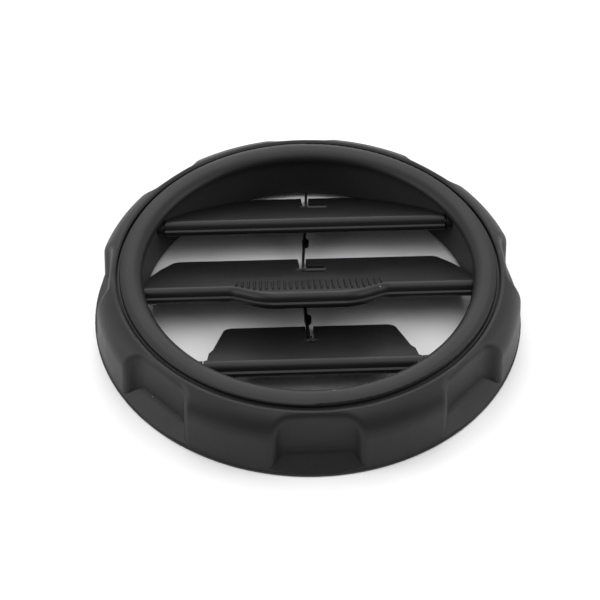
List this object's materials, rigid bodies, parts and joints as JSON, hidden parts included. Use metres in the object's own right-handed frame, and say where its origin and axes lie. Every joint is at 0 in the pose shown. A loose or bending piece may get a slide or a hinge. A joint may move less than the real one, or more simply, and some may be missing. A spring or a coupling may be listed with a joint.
{
  "type": "console air vent",
  "caption": "Round console air vent: scalloped grip ring that turns on a fixed collar, and tilting louvers joined by a tie bar, one with a ribbed finger lip.",
  "frame": {"origin": "centre of the grip ring's back face, where the vent lies on a table", "axes": "+Z along the vent's axis out of its face, +X along the louver pivots, +Y towards the upper louver"},
  "size_m": [0.096, 0.096, 0.0143],
  "materials": {
    "grip_plastic": "satin black moulded plastic, very fine grain",
    "bezel_plastic": "satin black moulded plastic, very fine grain",
    "barrel_plastic": "dull black moulded plastic",
    "louver_plastic": "satin black moulded plastic",
    "link_plastic": "black moulded plastic",
    "pin_plastic": "smooth black plastic",
    "collar_plastic": "plain black plastic",
    "spring_steel": "plain spring steel",
    "glide_plastic": "natural low-friction plastic",
    "seal_foam": "closed-cell foam",
    "bush_plastic": "smooth dark acetal"
  },
  "bodies": {
    "collar": {"swivel_collar": "collar_plastic", "foam_seal": "seal_foam"},
    "rotor": {"grip_ring": "grip_plastic", "bezel": "bezel_plastic", "barrel": "barrel_plastic", "retaining_ring": "spring_steel", "glide_ring": "glide_plastic", "pivot_bush_upper_left": "bush_plastic", "pivot_bush_upper_right": "bush_plastic", "pivot_bush_center_left": "bush_plastic", "pivot_bush_center_right": "bush_plastic", "pivot_bush_lower_left": "bush_plastic", "pivot_bush_lower_right": "bush_plastic"},
    "center_blade": {"louver_center": "louver_plastic", "link_pin_center": "pin_plastic"},
    "upper_blade": {"louver_upper": "louver_plastic", "link_pin_upper": "pin_plastic"},
    "lower_blade": {"louver_lower": "louver_plastic", "link_pin_lower": "pin_plastic"},
    "link": {"tie_bar": "link_plastic"}
  },
  "joints": [
    {"name": "ring_turn", "type": "hinge", "parent": "collar", "child": "rotor", "pos_m": [0, 0, 0], "axis": [0, 0, 1], "continuous": true},
    {"name": "louver_tilt", "type": "hinge", "parent": "rotor", "child": "center_blade", "pos_m": [0, -0.00534, 0.0094], "axis": [-1, 0, 0], "range_deg": [0, 75]},
    {"name": "upper_tilt", "type": "hinge", "parent": "rotor", "child": "upper_blade", "pos_m": [0, 0.01636, 0.0094], "axis": [-1, 0, 0], "range_deg": [0, 75]},
    {"name": "lower_tilt", "type": "hinge", "parent": "rotor", "child": "lower_blade", "pos_m": [0, -0.02704, 0.0094], "axis": [-1, 0, 0], "range_deg": [0, 75]},
    {"name": "link_swing", "type": "hinge", "parent": "center_blade", "child": "link", "pos_m": [0, 0.00559, 0.00505], "axis": [-1, 0, 0], "range_deg": [-75, 0]}
  ],
  "couplings": [
    {"joint": "upper_tilt", "follows": "louver_tilt", "ratio": 1},
    {"joint": "lower_tilt", "follows": "louver_tilt", "ratio": 1},
    {"joint": "link_swing", "follows": "louver_tilt", "ratio": -1}
  ]
}
